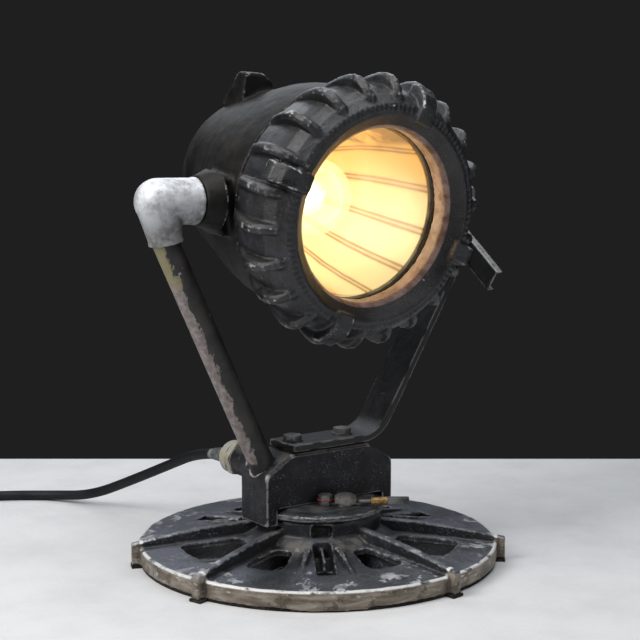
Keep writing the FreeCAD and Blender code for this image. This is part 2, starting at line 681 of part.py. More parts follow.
def lens_retainer():
    """The ring that holds the glass in from behind."""
    return ring(91.9, 89.2, 67.5, 74.9)


def ring_seal():
    """The round rubber cord between the cover ring and the housing's rim."""
    return Part.makeTorus(101.5, 2.6, Vector(0, 0, 62.9), Z)


def reflector_shell():
    """The spun reflector: a flared bowl with a flange outside its mouth."""
    outer = [(30, -84), (42, -82), (55, -64), (66, -38), (75, -6), (81, 28), (84.5, 58), (85.5, 63.5)]
    flange = [(97, 63.5), (97, 64.8), (85.8, 64.8), (86.6, 74.2)]
    inner = [(85.4, 74.2), (83.3, 58), (79.8, 28), (73.8, -6), (64.8, -38), (53.8, -64), (40.8, -80.6), (30, -82.6)]
    return turned(outer + flange + inner)


def reflector_clips():
    """Three small spring clips that hold the reflector's rim to the housing."""
    clip = fuse([block(Vector(90, -6, 60.2), Vector(98, 6, 63.4)), block(Vector(94, -6, 57), Vector(103.2, 6, 60.2))])
    return Part.makeCompound([around(clip, 30 + 120 * i) for i in range(3)])


def socket_body():
    """The porcelain body of the lamp holder."""
    body = turned([(0, -124), (22, -124), (24, -120), (24, -98), (21, -92), (21, -70), (15, -70), (15, -104), (0, -104)])
    return body


def socket_shell():
    """The threaded brass shell in the lamp holder."""
    return ring(14.9, 13.7, -103.5, -71)


def socket_contact():
    """The sprung centre contact of the lamp holder."""
    return ring(4, 0.01, -103.9, -100.6)


def socket_bracket():
    """The bent plate that carries the lamp holder off the housing's back wall."""
    bridge = block(Vector(-34, -13, -127.2), Vector(34, 13, -124.1))
    legs = [block(Vector(x, -13, -145.4), Vector(x + 3, 13, -125)) for x in (-34, 31)]
    feet = [block(Vector(x, -13, -145.4), Vector(x + 22, 13, -142.4)) for x in (-53, 31)]
    holes = [moved(rod(Z * -150, Z * -140, 2.6), X * side * BRACKET_SCREW) for side in (-1, 1)]
    return fuse([bridge] + legs + feet).cut(holes)


def socket_screws():
    """The two screws of the lamp holder's bracket."""
    screw = fuse([rod(Z * -149, Z * -142, 2.45), rod(Z * -142.3, Z * -139.5, 4.5)])
    return Part.makeCompound([moved(screw, X * side * BRACKET_SCREW) for side in (-1, 1)])


def bulb_glass():
    """The clear globe and its neck."""
    globe_radius, centre, neck = 40.0, -8.0, 13.0
    outer = [Vector(neck, 0, -74), Vector(neck, 0, -56), Vector(16.5, 0, -46)]
    join = Vector(globe_radius * math.sin(math.radians(150)), 0, centre + globe_radius * math.cos(math.radians(150)))
    globe = Part.Arc(join, Vector(globe_radius, 0, centre), Vector(0, 0, centre + globe_radius)).toShape()
    edges = [Part.LineSegment(Vector(0, 0, -74), outer[0]).toShape(),
             Part.LineSegment(outer[0], outer[1]).toShape(),
             Part.Arc(outer[1], outer[2], join).toShape(), globe,
             Part.LineSegment(Vector(0, 0, centre + globe_radius), Vector(0, 0, -74)).toShape()]
    solid = Part.Face(Part.Wire(edges)).revolve(ORIGIN, Z, 360)
    hollow = Part.makeSphere(globe_radius - 0.8, Vector(0, 0, centre))
    bore = rod(Vector(0, 0, -73), Vector(0, 0, -38), neck - 0.8)
    return solid.cut(hollow.fuse(bore))


def bulb_cap():
    """The bulb's screw cap."""
    return turned([(2, -99.5), (9, -99), (13.2, -96), (13.5, -74.2), (12.0, -74.2), (12.0, -95), (8, -97.5), (2, -98)])


def bulb_stem():
    """The glass stem and its two support wires."""
    stem = fuse([Part.makeCone(8, 3.5, 22, Vector(0, 0, -72.5)), rod(Vector(0, 0, -51), Vector(0, 0, -34), 3.2)])
    wires = [rod(Vector(side * 2, 0, -36), Vector(side * 14, 0, -8), 0.5) for side in (-1, 1)]
    return fuse([stem] + wires)


def bulb_filament():
    """The glowing filament, a zigzag between its supports."""
    count = 6
    points = [Vector(-13 + 26 / count * i, (-1) ** i * 5.0, -6.6) for i in range(count + 1)]
    pieces = [rod(a, b, 0.45) for a, b in zip(points, points[1:])]
    balls = [Part.makeSphere(0.45, point) for point in points]
    return fuse(pieces + balls)


def head_wires():
    """Two insulated wires from the lamp holder to the trunnion nipple."""
    paths = [[Vector(-96, side, 0), Vector(-88, side, -18), Vector(-72, side, -96), Vector(-38, side, -112),
              Vector(-24.3, side, -112)] for side in (-3, 3)]
    return Part.makeCompound([pipe_along(filleted_path(path, 9), 2) for path in paths])


# Right trunnion and tilt lock


def trunnion_bolt():
    """The long bolt from the right boss through the arm's ear."""
    return rod(Vector(104, 0, 0), Vector(209.5, 0, 0), 8)


def trunnion_spacer():
    """The tube between the boss and the ear."""
    inner, outer = BOSS_REACH + 0.5, EAR_X - ARM_THICKNESS / 2 - 0.3
    start, end = Vector(inner, 0, TRUNNION_HEIGHT), Vector(outer, 0, TRUNNION_HEIGHT)
    return rod(start, end, 15).cut(rod(start - X, end + X, 8.05))


def trunnion_washer():
    """The washer outside the ear."""
    start = Vector(EAR_X + ARM_THICKNESS / 2 + 0.2, 0, TRUNNION_HEIGHT)
    return rod(start, start + X * 2.5, 17).cut(rod(start - X, start + X * 5, 8.05))


def beside(line, distance):
    """A three-point line in the YZ plane, moved sideways."""
    first = (line[1] - line[0]).normalize()
    last = (line[2] - line[1]).normalize()
    across = [first.cross(X), (first.cross(X) + last.cross(X)).normalize(), last.cross(X)]
    stretch = [1, 1 / math.cos(first.getAngle(last) / 2), 1]
    return [point + normal * (distance * factor) for point, normal, factor in zip(line, across, stretch)]


def tilt_lock_lever():
    """A cranked lever of pressed channel on a threaded hub: down from the bolt, then forward."""
    web, sheet, half_width, flange = 180.0, 1.8, 13.0, 8.0
    line = [Vector(web, 12, 12), Vector(web, -6, -44), Vector(web, -70, -92)]
    outline = beside(line, half_width) + beside(line, -half_width)[::-1]
    long_line = [line[0] - (line[1] - line[0]), line[1], line[2] + (line[2] - line[1])]
    channel = beside(long_line, half_width - sheet) + beside(long_line, sheet - half_width)[::-1]
    groove = moved(prism(channel, X * flange * 2), X * sheet)
    hub = rod(Vector(web - 2.5, 0, 0), Vector(web + 17, 0, 0), 12)
    bore = rod(Vector(web - 10, 0, 0), Vector(web + 30, 0, 0), 8.05)
    lever = fuse([prism(outline, X * (sheet + flange)).cut(groove), hub]).cut(bore)
    return moved(lever, TRUNNION)


def lever_nut():
    """The end nut that keeps the lever on the bolt."""
    nut = hexagon(24, 0, 6.5).cut(rod(Vector(0, 0, -1), Z * 20, 8))
    return aimed(nut, Vector(197.2, 0, TRUNNION_HEIGHT), X)


# Cord


def route_radii(points):
    """The arc at each corner of a cord route: as large as its two runs allow."""
    radii = []
    for before, corner, after in zip(points, points[1:], points[2:]):
        into, out = corner - before, after - corner
        turn = into.getAngle(out)
        radii.append(0.45 * min(into.Length, out.Length) / math.tan(turn / 2))
    return radii


def cord_run(route, name):
    """A plain tube along the route, with its volume checked against its length."""
    radii = route_radii(list(route))
    wire = filleted_path(list(route), radii)
    tube = pipe_along(wire, CORD_RADIUS)
    expected = math.pi * CORD_RADIUS ** 2 * wire.Length
    print(name, "length", round(wire.Length, 1), "radii", [round(r) for r in radii],
          "volume ratio", round(tube.Volume / expected, 5))
    return tube


def cord_coil():
    """The outer shape of the wound part of the cord."""
    half_width = CORD_DIAMETER + 0.5
    return moved(ring(COIL_RADIUS + half_width, COIL_RADIUS - half_width, 0, 2 * CORD_DIAMETER + 1), COIL_CENTRE)


def cord_tie():
    """The strap over the coil."""
    half_width = CORD_DIAMETER + 0.5
    top = 2 * CORD_DIAMETER + 1
    place = COIL_CENTRE + Vector(COIL_RADIUS, 0, 0)
    outer = block(Vector(-half_width - 1.8, -6, 0), Vector(half_width + 1.8, 6, top + 1.6))
    inner = block(Vector(-half_width - 0.4, -7, -1), Vector(half_width + 0.6, 7, top + 0.2))
    return moved(outer.cut(inner), place)


def plug_axis():
    """The plug's direction and the point where the cord enters it."""
    last = TAIL_ROUTE[-1] - TAIL_ROUTE[-2]
    return last.normalize(), TAIL_ROUTE[-1]


def plug_body():
    """The moulded plug with its tapering relief."""
    axis, start = plug_axis()
    relief = Part.makeCone(CORD_RADIUS + 1, 9.5, 20, ORIGIN, Z)
    grip = block(Vector(-12, -13, 19), Vector(12, 13, 50))
    grip = rounded(grip, 4, lambda edge: edge.BoundBox.ZLength > 30)
    face = block(Vector(-12.9, -15, 50), Vector(12.9, 15, 56))
    slots = [rod(Vector(0, side * 6.3, 50), Vector(0, side * 6.3, 60), 1.2) for side in (-1, 1)]
    body = fuse([relief, grip, face]).cut(slots)
    return Placement(start, Rotation(Z, axis)), body


def placed_plug():
    """The plug where it lies."""
    place, body = plug_body()
    body.Placement = place.multiply(body.Placement)
    return body


def plug_blades():
    """The plug's two flat blades."""
    place, _ = plug_body()
    blades = Part.makeCompound([block(Vector(-3.2, side * 6.3 - 0.75, 56.05), Vector(3.2, side * 6.3 + 0.75, 72))
                                for side in (-1, 1)])
    blades.Placement = place.multiply(blades.Placement)
    return blades


os.makedirs("parts", exist_ok=True)

FIXED = {
    "base_casting": base_casting, "base_pad": base_pad, "thrust_washer": thrust_washer,
    "swivel_flange": swivel_flange_drilled, "swivel_stud": swivel_stud, "swivel_washer": swivel_washer,
    "swivel_nut": swivel_nut, "flange_screws": flange_screws, "junction_box": junction_box,
    "box_gasket": box_gasket, "terminal_block": terminal_block, "terminal_screws": terminal_screws,
    "arm_bar": arm_bar, "arm_bolts": arm_bolts, "arm_washers": arm_washers, "conduit_arm": conduit_arm,
    "conduit_elbow": conduit_elbow, "trunnion_nipple": trunnion_nipple, "arm_wires": arm_wires,
    "trunnion_spacer": trunnion_spacer, "trunnion_washer": trunnion_washer,
    "gland_body": gland_body, "gland_nut": gland_nut, "cord_relief": cord_relief,
    "pan_lock_bolt": pan_lock_bolt, "pan_lock_lever": pan_lock_lever, "pan_lock_sleeve": pan_lock_sleeve,
    "lock_wire": lock_wire, "tilt_lock_lever": tilt_lock_lever, "lever_nut": lever_nut,
    "cord_coil": cord_coil, "cord_tie": cord_tie, "plug_body": placed_plug, "plug_blades": plug_blades,
}
IN_HEAD = {
    "housing": housing, "cover_ring": cover_ring, "lens_glass": lens_glass, "lens_gasket": lens_gasket,
    "lens_retainer": lens_retainer, "ring_seal": ring_seal, "reflector": reflector_shell,
    "reflector_clips": reflector_clips, "socket_body": socket_body, "socket_shell": socket_shell,
    "socket_contact": socket_contact, "socket_bracket": socket_bracket, "socket_screws": socket_screws,
    "bulb_glass": bulb_glass, "bulb_cap": bulb_cap, "bulb_stem": bulb_stem,
    "bulb_filament": bulb_filament, "head_wires": head_wires, "trunnion_bolt": trunnion_bolt,
}
for node, make in FIXED.items():
    save(node, make())
for node, make in IN_HEAD.items():
    save(node, in_head(make()))
save("cord_tube", cord_run(COIL_ROUTE, "cord_tube"))
save("cord_tail", cord_run(TAIL_ROUTE, "cord_tail"))
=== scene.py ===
import math

import bpy
import numpy as np
from mathutils import Matrix, Vector, noise


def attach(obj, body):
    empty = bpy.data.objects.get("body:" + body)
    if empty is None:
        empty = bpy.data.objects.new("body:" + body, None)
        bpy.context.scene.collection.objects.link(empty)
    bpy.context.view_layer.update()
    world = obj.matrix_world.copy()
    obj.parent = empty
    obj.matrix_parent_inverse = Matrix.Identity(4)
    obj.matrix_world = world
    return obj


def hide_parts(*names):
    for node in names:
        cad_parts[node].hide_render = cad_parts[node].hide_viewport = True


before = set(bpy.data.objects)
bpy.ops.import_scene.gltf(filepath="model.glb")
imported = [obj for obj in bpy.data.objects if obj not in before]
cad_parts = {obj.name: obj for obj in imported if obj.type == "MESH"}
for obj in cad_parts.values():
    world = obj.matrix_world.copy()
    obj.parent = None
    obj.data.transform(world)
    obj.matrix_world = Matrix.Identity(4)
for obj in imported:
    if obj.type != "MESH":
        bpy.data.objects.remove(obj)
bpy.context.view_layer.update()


# Camera. It stands in front of the lamp and to its left, a little above the table, and looks slightly down.

camera = bpy.data.objects.new("camera", bpy.data.cameras.new("camera"))
bpy.context.scene.collection.objects.link(camera)
camera.location = (-0.834, -1.191, 0.436)
camera.rotation_euler = (math.radians(90 - 7.2), 0, math.radians(-35.1))
camera.data.sensor_width = 36
camera.data.lens = 78.75
camera.data.clip_start = 0.05
bpy.context.scene.camera = camera


# Cord. A black rubber mains lead, 11.5 mm thick, leaves the gland's sleeve, drops to the table in one slow
# bend and runs off behind the base. The rest of its length is wound into a flat coil and tied.

cord_thickness = 0.0115
cord_line = [
    (-0.064, 0.104, 0.0985), (-0.065, 0.140, 0.093), (-0.071, 0.190, 0.072), (-0.086, 0.252, 0.044),
    (-0.108, 0.322, 0.013), (-0.134, 0.376, 0.00575), (-0.184, 0.410, 0.00575), (-0.244, 0.436, 0.00575),
    (-0.292, 0.466, 0.00575),
]
coil_x, coil_y = -0.326, 0.412
inner_turn, outer_turn, low_turn, high_turn = 0.05225, 0.06375, 0.00575, 0.01725


def between(value, start, end):
    """How far value has gone from start to end, eased, from 0 to 1."""
    share = min(max((value - start) / (end - start), 0), 1)
    return share * share * (3 - 2 * share)


for step in range(1, 54):
    angle = 58 + step * 1202 / 54
    reach = outer_turn - (outer_turn - inner_turn) * (between(angle, 376, 420) - between(angle, 1008, 1052))
    height = low_turn + (high_turn - low_turn) * between(angle, 688, 732)
    cord_line.append((coil_x + reach * math.cos(math.radians(angle)),
                      coil_y + reach * math.sin(math.radians(angle)), height))
cord_line += [
    (-0.38975, 0.412, 0.01725), (-0.389, 0.376, 0.018), (-0.381, 0.340, 0.0195), (-0.366, 0.306, 0.0195),
]

cord_curve = bpy.data.curves.new("cord", "CURVE")
cord_curve.dimensions = "3D"
cord_curve.bevel_depth = 1
cord_curve.bevel_resolution = 6
cord_curve.resolution_u = 8
cord_curve.use_fill_caps = True
strand = cord_curve.splines.new("NURBS")
strand.points.add(len(cord_line) - 1)
for point, place in zip(strand.points, cord_line):
    point.co = (*place, 1)
    point.radius = cord_thickness / 2
strand.order_u = 3
strand.use_endpoint_u = True
cord = bpy.data.objects.new("cord", cord_curve)
bpy.context.scene.collection.objects.link(cord)
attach(cord, "pan")
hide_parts("cord_tube", "cord_coil", "cord_tail")


# Every finish below is a set of shader nodes. A signal is one output in such a set: sums on it add Math
# nodes, and its method adds any other node. A finish starts from the shader and the place on the piece.

class Signal:
    """One output of a material's nodes, for plain arithmetic."""

    def __init__(self, tree, socket):
        self.tree, self.socket = tree, socket

    def node(self, kind, settings, values, output=0):
        """Adds a node: its settings first, then its socket values or links."""
        made = self.tree.nodes.new("ShaderNode" + kind)
        for key, value in settings.items():
            setattr(made, key, value)
        for key, value in values.items():
            if isinstance(value, Signal):
                self.tree.links.new(value.socket, made.inputs[key])
            else:
                made.inputs[key].default_value = value
        return Signal(self.tree, made.outputs[output])

    def maths(self, operation, first, second):
        return self.node("Math", {"operation": operation}, {0: first, 1: second})

    def __add__(self, other):
        return self.maths("ADD", self, other)

    def __sub__(self, other):
        return self.maths("SUBTRACT", self, other)

    def __mul__(self, other):
        return self.maths("MULTIPLY", self, other)

    def __pow__(self, other):
        return self.maths("POWER", self, other)

    def __radd__(self, other):
        return self.maths("ADD", other, self)

    def __rsub__(self, other):
        return self.maths("SUBTRACT", other, self)

    def __rmul__(self, other):
        return self.maths("MULTIPLY", other, self)

    def larger(self, other):
        return self.maths("MAXIMUM", self, other)

    def smaller(self, other):
        return self.maths("MINIMUM", self, other)

    def rise(self, low, high):
        """0 below low, 1 above high, eased between."""
        values = {0: self, 1: low, 2: high, 3: 0.0, 4: 1.0}
        return self.node("MapRange", {"interpolation_type": "SMOOTHSTEP"}, values)

    def cloud(self, scale, detail=4.0, roughness=0.55, warp=0.0):
        """Soft random blotches at this place."""
        return self.node("TexNoise", {}, {"Vector": self, "Scale": scale, "Detail": detail,
                                          "Roughness": roughness, "Distortion": warp})

    def stretched(self, x, y, z):
        """The same place with its axes scaled, for streaks."""
        return self.node("VectorMath", {"operation": "MULTIPLY"}, {0: self, 1: (x, y, z)})

    def along(self, direction, origin=(0, 0, 0)):
        """How far this place lies along a direction from an origin."""
        moved = self.node("VectorMath", {"operation": "SUBTRACT"}, {0: self, 1: origin})
        return self.node("VectorMath", {"operation": "DOT_PRODUCT"}, {0: moved, 1: direction}, 1)

    def away(self, x, y):
        """Distance from an upright line."""
        flat = self.node("VectorMath", {"operation": "MULTIPLY_ADD"}, {0: self, 1: (1, 1, 0), 2: (-x, -y, 0)})
        return self.node("VectorMath", {"operation": "LENGTH"}, {0: flat}, 1)

    def measured(self, name):
        """A number stored on the mesh."""
        return self.node("Attribute", {"attribute_name": name}, {}, 2)

    def over(self, under, share):
        """This colour laid over another where share is 1."""
        return self.node("Mix", {"data_type": "RGBA"}, {0: share, 6: under, 7: self}, 2)

    def tint(self, colour, under, share):
        """A plain colour laid over another where share is 1."""
        return self.node("Mix", {"data_type": "RGBA"}, {0: share, 6: under, 7: (*colour, 1)}, 2)

    def feed(self, shader, **sockets):
        """Links signals to the surface shader."""
        for key, value in sockets.items():
            self.tree.links.new(value.socket, shader.inputs[key.replace("_", " ")])

    def dented(self, height, depth, under=None):
        """A bumped surface direction."""
        values = {"Height": height, "Distance": depth, "Strength": 1.0}
        if under:
            values["Normal"] = under
        return self.node("Bump", {}, values)


def finish(name, **fixed):
    """A new material: its surface shader with fixed numbers set on it, and the place on the piece."""
    material = bpy.data.materials.new(name)
    material.use_nodes = True
    tree = material.node_tree
    shader = tree.nodes["Principled BSDF"]
    for key, value in fixed.items():
        shader.inputs[key.replace("_", " ")].default_value = value
    return material, shader, Signal(tree, tree.nodes.new("ShaderNodeTexCoord").outputs["Object"])


def cover(material, *names):
    """Puts a finish on CAD nodes or pieces."""
    for name in names:
        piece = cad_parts.get(name) or bpy.data.objects[name]
        piece.data.materials.clear()
        piece.data.materials.append(material)


cord_rubber, shader, place = finish("cord_rubber", Specular_IOR_Level=0.28)
scuff = place.cloud(45, 5, 0.6).rise(0.56, 0.72) * place.cloud(260, 3).rise(0.45, 0.62)
dust = place.cloud(18, 3).rise(0.4, 0.75)
colour = place.tint((0.010, 0.012, 0.015), (0.003, 0.0035, 0.0045, 1), dust * 0.8)
colour = place.tint((0.10, 0.105, 0.115), colour, scuff * 0.4)
at_sleeve = place.along((0, 1, 0), (0, 0.104, 0)).rise(0.009, 0.004)
colour = place.tint((0.30, 0.30, 0.28), colour, at_sleeve * 0.75)
place.feed(shader, Base_Color=colour, Roughness=0.46 + place.cloud(80, 3) * 0.25 + scuff * 0.15,
           Normal=place.dented(place.cloud(500, 3) + scuff * 0.5, 0.0002))
cover(cord_rubber, "cord")


# Table top and light. A pale, slightly mottled slab ends behind the lamp. One large soft light hangs in front
# and to the left, one overhead and one behind, which gives the tops their sheen. A weak one fills the right.

table_mesh = bpy.data.meshes.new("table")
depth_way = Vector((0.575, 0.818, 0))
side_way = Vector((0.818, -0.575, 0))
corners = [side_way * x + depth_way * y for x, y in ((-1.9, -1.7), (1.9, -1.7), (1.9, 0.455), (-1.9, 0.455))]
table_mesh.from_pydata([(*c.xy, 0) for c in corners] + [(*c.xy, -0.04) for c in corners], [],
                       [(0, 1, 2, 3), (7, 6, 5, 4), (0, 4, 5, 1), (1, 5, 6, 2), (2, 6, 7, 3), (3, 7, 4, 0)])
table = bpy.data.objects.new("table", table_mesh)
bpy.context.scene.collection.objects.link(table)
pale_top, shader, place = finish("pale_top", Specular_IOR_Level=0.3)
mottle = place.cloud(9, 6, 0.65)
colour = place.tint((0.50, 0.505, 0.515), (0.70, 0.70, 0.705, 1), mottle.rise(0.35, 0.75) * 0.45)
place.feed(shader, Base_Color=colour, Roughness=0.62 + mottle * 0.2,
           Normal=place.dented(place.cloud(160, 4), 0.0004))
cover(pale_top, "table")

world = bpy.data.worlds.new("room")
bpy.context.scene.world = world
world.use_nodes = True
world.node_tree.nodes["Background"].inputs["Color"].default_value = (0.014, 0.0138, 0.014, 1)
world.node_tree.nodes["Background"].inputs["Strength"].default_value = 1.0


def soft_lamp(name, across, ahead, height, width, depth, power, colour, aim):
    """A large rectangular lamp, placed across and ahead of the object as the camera sees it."""
    data = bpy.data.lights.new(name, "AREA")
    data.shape = "RECTANGLE"
    data.size, data.size_y, data.energy, data.color = width, depth, power, colour
    lamp = bpy.data.objects.new(name, data)
    bpy.context.scene.collection.objects.link(lamp)
    lamp.location = side_way * across + depth_way * ahead + Vector((0, 0, height))
    lamp.rotation_euler = (Vector(aim) - lamp.location).to_track_quat("-Z", "Y").to_euler()
    return lamp


soft_lamp("key_lamp", -1.15, -0.75, 1.25, 0.9, 1.0, 24, (1.0, 0.99, 0.97), (0, 0, 0.2))
soft_lamp("top_lamp", 0.1, -0.25, 1.75, 1.5, 1.0, 19, (0.95, 0.97, 1.0), (0, 0, 0.1))
soft_lamp("back_lamp", -0.15, 1.15, 1.2, 1.6, 0.5, 7, (0.86, 0.92, 1.0), (0, 0, 0.05))
soft_lamp("fill_lamp", 1.4, -0.9, 0.9, 0.8, 0.8, 4, (0.97, 0.98, 1.0), (0, 0, 0.25))
bpy.context.scene.view_settings.view_transform = "Standard"


# Castings. Base, box, lamp body and cover ring are rough iron castings, dipped in black paint long ago. A
# cast edge is never sharp, so each becomes one close-meshed skin with softened edges and small hollows. It
# keeps two numbers per point: how much of an edge it is, and how far it faces up.

def cast_skin(name, node, body, voxel, waviness, chips):
    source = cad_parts[node]
    skin = bpy.data.objects.new(name, source.data.copy())
    bpy.context.scene.collection.objects.link(skin)
    weld = skin.modifiers.new("weld", "WELD")
    weld.merge_threshold = 0.00001
    rebuild = skin.modifiers.new("rebuild", "REMESH")
    rebuild.mode = "VOXEL"
    rebuild.voxel_size = voxel
    ease = skin.modifiers.new("ease", "SMOOTH")
    ease.factor = 0.5
    ease.iterations = 3
    done = bpy.data.meshes.new_from_object(skin.evaluated_get(bpy.context.evaluated_depsgraph_get()))
    skin.modifiers.clear()
    skin.data = done
    count = len(done.vertices)
    spot = np.empty(count * 3, np.float32)
    facing = np.empty(count * 3, np.float32)
    ends = np.empty(len(done.edges) * 2, np.int32)
    done.vertices.foreach_get("co", spot)
    done.vertex_normals.foreach_get("vector", facing)
    done.edges.foreach_get("vertices", ends)
    spot, facing = spot.reshape(-1, 3).astype(float), facing.reshape(-1, 3).astype(float)
    first, second = ends[0::2], ends[1::2]
    gap = spot[second] - spot[first]
    bend = ((facing[second] - facing[first]) * gap).sum(1) / np.maximum((gap * gap).sum(1), 1e-12)
    links = np.bincount(first, minlength=count) + np.bincount(second, minlength=count)

    def shared(per_edge_first, per_edge_second):
        total = np.bincount(first, per_edge_first, count) + np.bincount(second, per_edge_second, count)
        return total / np.maximum(links, 1)

    edge = shared(bend, bend)
    for _ in range(3):
        edge = 0.4 * edge + 0.6 * shared(edge[second], edge[first])
    edge = np.clip(edge / 220, -1, 1)
    wave = np.array([noise.fractal(Vector(p) * 55, 0.8, 2.1, 3) for p in spot])
    chip = np.array([noise.noise(Vector(p) * 240) for p in spot])
    push = waviness * wave - waviness * 0.6 - chips * np.clip(edge, 0, 1) * np.clip(chip + 0.1, 0, 1)
    spot += facing * push[:, None]
    done.vertices.foreach_set("co", spot.astype(np.float32).ravel())
    for label, values in (("edge", edge), ("up", facing[:, 2])):
        done.attributes.new(label, "FLOAT", "POINT").data.foreach_set("value", values.astype(np.float32))
    done.shade_smooth()
    done.update()
    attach(skin, body)
    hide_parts(node)
    return skin


# Base. One dished iron plate with a skirt, hub and six ribs. Its black paint carries a grey-blue painted
# sheen on the upward flats, strongest towards the back, and painted shade darkens its creases. It is worn to
# bare metal along the rim, the rib tops and round the windows; the rim itself is bare and brown.

cast_skin("base_skin", "base_casting", "base", 0.0016, 0.00035, 0.0008)
base_iron, shader, place = finish("base_iron", Specular_IOR_Level=0.55)
edge, up = place.measured("edge"), place.measured("up")
reach = place.away(0, 0)
grain = place.cloud(420, 3, 0.6)
blotch = place.cloud(26, 6, 0.68, 0.4)
fine_blotch = place.cloud(120, 5, 0.65)
paint = place.tint((0.020, 0.022, 0.028), (0.006, 0.0065, 0.008, 1), place.cloud(34, 4).rise(0.35, 0.7))
# Painted sheen: upward flats lightened grey-blue, more towards the back, for light falling on them.
painted_top_sheen = (place.cloud(14, 5) + place.along((0, 1, 0)) * 0.9).rise(0.28, 0.62) * up.rise(0.6, 0.95)
paint = place.tint((0.110, 0.118, 0.145), paint, painted_top_sheen * 0.85)
speck = place.cloud(560, 3, 0.7)
dusty = speck.rise(0.55, 0.66) * place.cloud(45, 4).rise(0.36, 0.6)
paint = place.tint((0.21, 0.215, 0.235), paint, dusty * 0.8)
paint = place.tint((0.004, 0.004, 0.005), paint, place.cloud(300, 4, 0.7).rise(0.56, 0.66) * 0.7)
rubbed = (edge.rise(0.40, 0.85) * fine_blotch.rise(0.40, 0.54) * 0.8
          + (blotch * 0.75 + fine_blotch * 0.25 + reach.rise(0.12, 0.19) * 0.075).rise(0.600, 0.625)
          * up.rise(0.3, 0.8)).smaller(1.0)
rib_top = place.along((0, 0, 1), (0, 0, 0.052)) + reach * 0.11
rubbed = rubbed.larger(rib_top.rise(0.004, 0.008) * fine_blotch.rise(0.41, 0.52) * up.rise(0.6, 0.9) * 0.85)
metal = place.tint((0.46, 0.46, 0.48), (0.20, 0.20, 0.21, 1), place.cloud(90, 4).rise(0.35, 0.65))
colour = metal.over(paint, rubbed)
rim = reach.rise(0.1865, 0.1885) * up.rise(0.55, 0.25)
streaks = place.stretched(1, 1, 5).cloud(40, 5).rise(0.35, 0.7)
bronze = place.tint((0.34, 0.30, 0.25), (0.135, 0.105, 0.072, 1), streaks)
bronze = place.tint((0.05, 0.038, 0.028), bronze, place.cloud(38, 6, 0.7).rise(0.53, 0.60) * 0.7)
bronze = place.tint((0.55, 0.54, 0.51), bronze, place.stretched(1, 1, 3).cloud(85, 4, 0.7).rise(0.60, 0.68))
colour = bronze.over(colour, rim * place.cloud(30, 4).rise(0.22, 0.36))
corner = reach.rise(0.1855, 0.1872) * reach.rise(0.1905, 0.1893) * up.rise(0.2, 0.5)
corner = corner * place.cloud(60, 4).rise(0.36, 0.5)
colour = place.tint((0.78, 0.77, 0.75), colour, corner * 0.9)
silt = reach.rise(0.112, 0.074) * up.rise(0.5, 0.9) * place.cloud(50, 5).rise(0.35, 0.65)
colour = place.tint((0.22, 0.195, 0.16), colour, silt * 0.5)
# Painted shade: concave creases darkened nearly to black.
colour = place.tint((0.008, 0.008, 0.009), colour, edge.rise(-0.08, -0.4) * 0.7)
rough = 0.28 + place.cloud(70, 4) * 0.22 + rubbed * 0.14 + silt * 0.3
place.feed(shader, Base_Color=colour, Roughness=rough, Metallic=rubbed * 0.35 + rim * 0.25,
           Normal=place.dented(grain * 0.9 + rubbed * -0.5 + place.cloud(900, 2) * 0.3, 0.0006))
cover(base_iron, "base_skin")

cast_skin("swivel_skin", "swivel_flange", "pan", 0.0013, 0.0002, 0.0004)
disc_iron, shader, place = finish("disc_iron", Specular_IOR_Level=0.5)
edge = place.measured("edge")
scratch = place.stretched(1, 1, 6).cloud(150, 5, 0.7)
colour = place.tint((0.050, 0.053, 0.062), (0.012, 0.013, 0.015, 1), place.cloud(40, 4).rise(0.35, 0.7))
worn = (edge.rise(0.35, 0.8) * scratch.rise(0.42, 0.56)).larger(
    place.away(0, 0).rise(0.0655, 0.0675) * scratch.rise(0.60, 0.68))
colour = place.tint((0.50, 0.50, 0.51), colour, worn)
silt = place.along((0, 0, 1), (0, 0, 0.064)).rise(-0.0006, 0) * place.cloud(45, 5).rise(0.4, 0.7)
colour = place.tint((0.17, 0.15, 0.13), colour, silt * 0.6)
place.feed(shader, Base_Color=colour, Roughness=0.35 + scratch * 0.25, Metallic=worn * 0.5,
           Normal=place.dented(place.cloud(500, 3), 0.0003))
cover(disc_iron, "swivel_skin")

foot_rubber, shader, place = finish("foot_rubber", Specular_IOR_Level=0.3)
crumb = place.cloud(180, 4)
colour = place.tint((0.05, 0.045, 0.04), (0.012, 0.011, 0.010, 1), crumb.rise(0.45, 0.7))
place.feed(shader, Base_Color=colour, Roughness=0.75 + crumb * 0.2, Normal=place.dented(crumb, 0.0004))
cover(foot_rubber, "base_pad", "box_gasket", "lens_gasket", "ring_seal", "cord_tie")


# Junction box. A rounded iron box turns on the disc. Its charcoal paint is finely speckled where dust has
# caught in the grain, its corners are chipped white and its flat shoulders hold brown dust.

cast_skin("box_skin", "junction_box", "pan", 0.0014, 0.0003, 0.0006)
box_iron, shader, place = finish("box_iron", Specular_IOR_Level=0.35)
edge, up = place.measured("edge"), place.measured("up")
speck = place.cloud(620, 3, 0.7)
colour = place.tint((0.020, 0.021, 0.027), (0.005, 0.005, 0.0065, 1), place.cloud(38, 5).rise(0.35, 0.68))
colour = place.tint((0.20, 0.20, 0.21), colour, speck.rise(0.58, 0.66) * place.cloud(60, 3).rise(0.38, 0.6))
silt = up.rise(0.55, 0.92) * place.cloud(55, 5, 0.65).rise(0.36, 0.62)
colour = place.tint((0.125, 0.115, 0.10), colour, silt * 0.75)
chipped = edge.rise(0.45, 0.80) * place.cloud(110, 5, 0.68).rise(0.36, 0.46)
chipped = chipped.larger(place.cloud(110, 6, 0.72).rise(0.70, 0.72))
colour = place.tint((0.36, 0.355, 0.35), colour, chipped)
